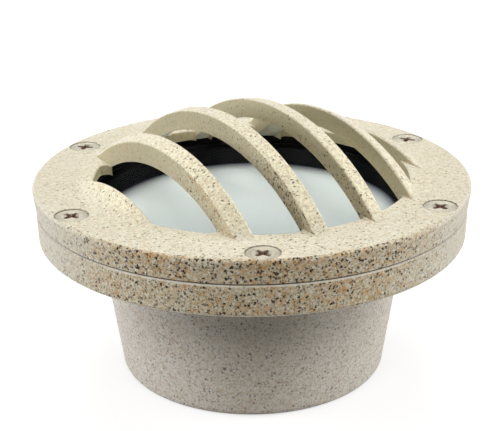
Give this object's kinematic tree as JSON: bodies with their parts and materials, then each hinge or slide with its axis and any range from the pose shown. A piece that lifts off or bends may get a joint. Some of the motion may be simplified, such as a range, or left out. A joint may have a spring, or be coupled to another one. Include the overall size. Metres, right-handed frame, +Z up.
{
  "type": "in-ground well light",
  "caption": "Round in-ground uplight: a tapered cast bowl with a wide flange, a screwed-down cover whose domed grille bars guard a clear glass, and a reflector lamp in a tilting yoke.",
  "frame": {"origin": "centre of the bowl's underside, where it stands", "axes": "+Z up out of the ground, the grille bars run along Y, the cable gland leaves the bowl towards +Y"},
  "size_m": [0.1598, 0.1598, 0.0983],
  "materials": {
    "stone_coat": "matt stone-speckle powder coat over die-cast aluminium",
    "stainless": "stainless steel, satin",
    "plated_steel": "zinc plated",
    "bright_wire": "bright drawn wire",
    "brass_parts": "turned brass",
    "clear_glass": "clear toughened glass",
    "frosted_glass": "frosted glass, pale grey",
    "lamp_glass": "clear lamp glass and quartz",
    "mirror_coat": "faceted mirror coat on pressed glass",
    "lamp_ceramic": "white steatite",
    "black_rubber": "black silicone rubber",
    "black_plastic": "black, fine grain",
    "gland_nylon": "black nylon",
    "white_nylon": "natural white nylon",
    "lead_sleeve": "white silicone sleeve"
  },
  "bodies": {
    "housing": {"housing": "stone_coat", "housing_flange": "stone_coat", "yoke_bracket": "plated_steel", "yoke_screws": "plated_steel", "terminal_block": "white_nylon", "terminal_tubes": "brass_parts", "terminal_screws": "plated_steel", "block_screw": "plated_steel", "lamp_leads": "lead_sleeve", "gland_washer": "black_rubber", "gland_body": "gland_nylon", "gland_seal": "black_rubber", "gland_nut": "gland_nylon", "gland_locknut": "gland_nylon"},
    "cover": {"cover_grille": "stone_coat", "cover_screws": "stainless", "screw_retainers": "white_nylon"},
    "lens": {"lens_glass": "clear_glass", "lens_gasket": "black_rubber"},
    "diffuser": {"diffuser": "frosted_glass", "bezel_ring": "black_plastic"},
    "lamp": {"gimbal_ring": "plated_steel", "lamp_clip": "bright_wire", "lamp_reflector": "mirror_coat", "lamp_front_glass": "lamp_glass", "lamp_burner": "lamp_glass", "lamp_filament": "bright_wire", "lamp_cap": "lamp_ceramic", "lamp_pins": "bright_wire", "lamp_socket": "lamp_ceramic", "socket_rivets": "brass_parts", "pivot_screws": "plated_steel", "pivot_nuts": "plated_steel", "pivot_washers": "white_nylon"}
  },
  "joints": [
    {"name": "cover_lift", "type": "slide", "parent": "housing", "child": "cover", "axis": [0, 0, 1], "range_m": [0, 0.15]},
    {"name": "lens_lift", "type": "slide", "parent": "housing", "child": "lens", "axis": [0, 0, 1], "range_m": [0, 0.09]},
    {"name": "diffuser_lift", "type": "slide", "parent": "housing", "child": "diffuser", "axis": [0, 0, 1], "range_m": [0, 0.045]},
    {"name": "lamp_tilt", "type": "hinge", "parent": "housing", "child": "lamp", "pos_m": [0, 0, 0.034], "axis": [1, 0, 0], "range_deg": [-12, 12], "deforming": ["lamp_leads"]}
  ],
  "couplings": [
    {"joint": "lens_lift", "follows": "cover_lift", "ratio": 0.6},
    {"joint": "diffuser_lift", "follows": "cover_lift", "ratio": 0.3}
  ]
}
